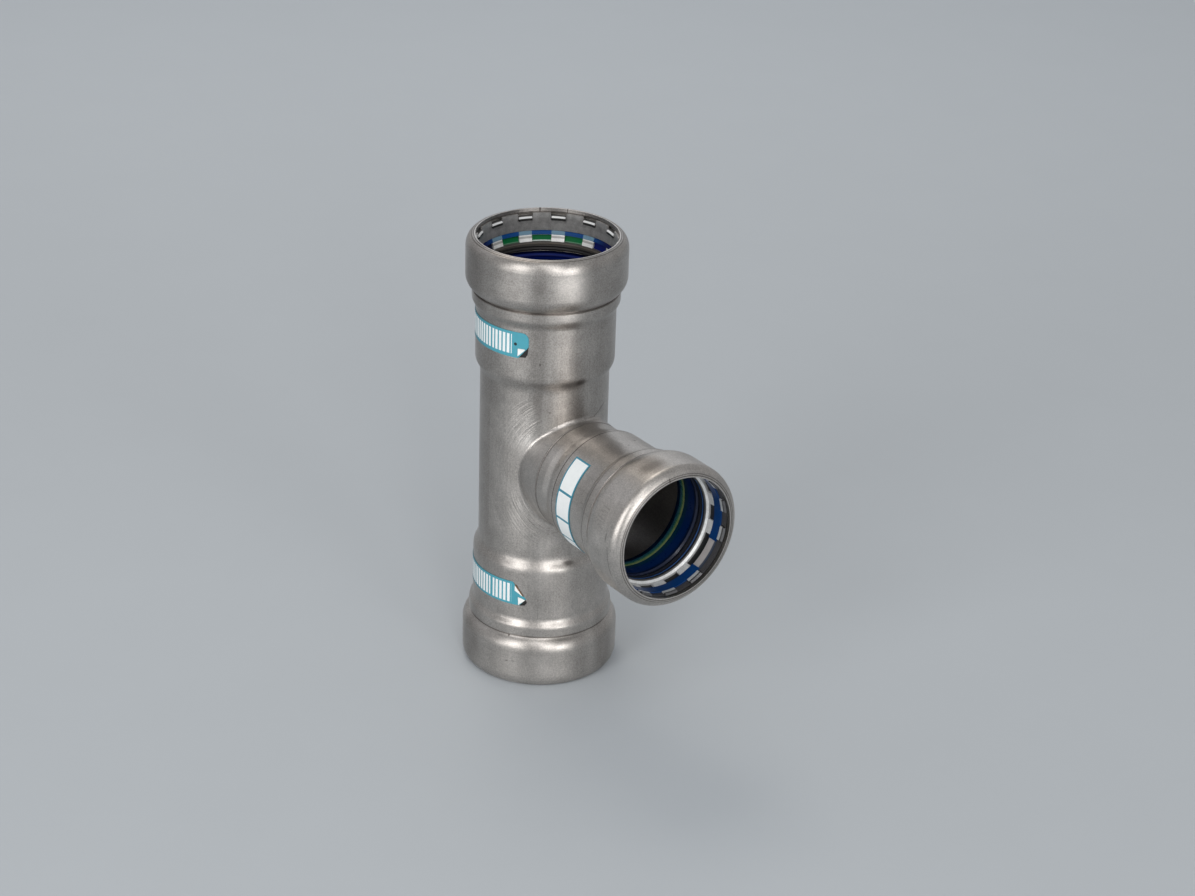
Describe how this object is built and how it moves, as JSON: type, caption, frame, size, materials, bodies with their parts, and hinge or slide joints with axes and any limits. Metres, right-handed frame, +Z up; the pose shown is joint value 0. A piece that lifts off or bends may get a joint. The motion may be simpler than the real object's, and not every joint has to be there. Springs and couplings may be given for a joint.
{
  "type": "reducing press tee",
  "caption": "Stainless steel press tee: a straight run with a bead and collar at each end, and a smaller branch socket on its side, each with grip, spacer and seal rings.",
  "frame": {"origin": "centre of the lower rim, in the plane that the tee stands on", "axes": "+Z up along the run, +X out along the branch, +Y completes a right-handed frame"},
  "size_m": [0.1163, 0.0604, 0.1762],
  "materials": {
    "run_steel": "satin, finely brushed",
    "branch_steel": "satin, finely brushed",
    "ring_steel": "semi-bright, rolled sheet",
    "grip_steel": "bright satin",
    "blue_plastic": "glossy",
    "green_plastic": "semi-gloss",
    "grey_plastic": "matte",
    "seal_rubber": "smooth, slightly shiny",
    "teal_label": "satin film",
    "white_label": "satin film"
  },
  "bodies": {
    "root": {"run_body": "run_steel", "branch_socket": "branch_steel", "upper_tab_ring": "ring_steel", "upper_liner_ring": "ring_steel", "upper_slip_ring": "blue_plastic", "upper_spacer_ring": "green_plastic", "upper_grip_ring": "grip_steel", "upper_support_ring": "grey_plastic", "upper_seal_ring": "seal_rubber", "upper_wiper_ring": "green_plastic", "lower_tab_ring": "ring_steel", "lower_liner_ring": "ring_steel", "lower_slip_ring": "blue_plastic", "lower_spacer_ring": "green_plastic", "lower_grip_ring": "grip_steel", "lower_support_ring": "grey_plastic", "lower_seal_ring": "seal_rubber", "lower_wiper_ring": "green_plastic", "branch_tab_ring": "ring_steel", "branch_liner_ring": "ring_steel", "branch_split_ring": "blue_plastic", "branch_spacer_ring": "grey_plastic", "branch_grip_ring": "grip_steel", "branch_support_ring": "grey_plastic", "branch_seal_ring": "seal_rubber", "branch_wiper_ring": "green_plastic", "upper_label": "teal_label", "lower_label": "teal_label", "branch_label": "white_label"}
  },
  "joints": []
}
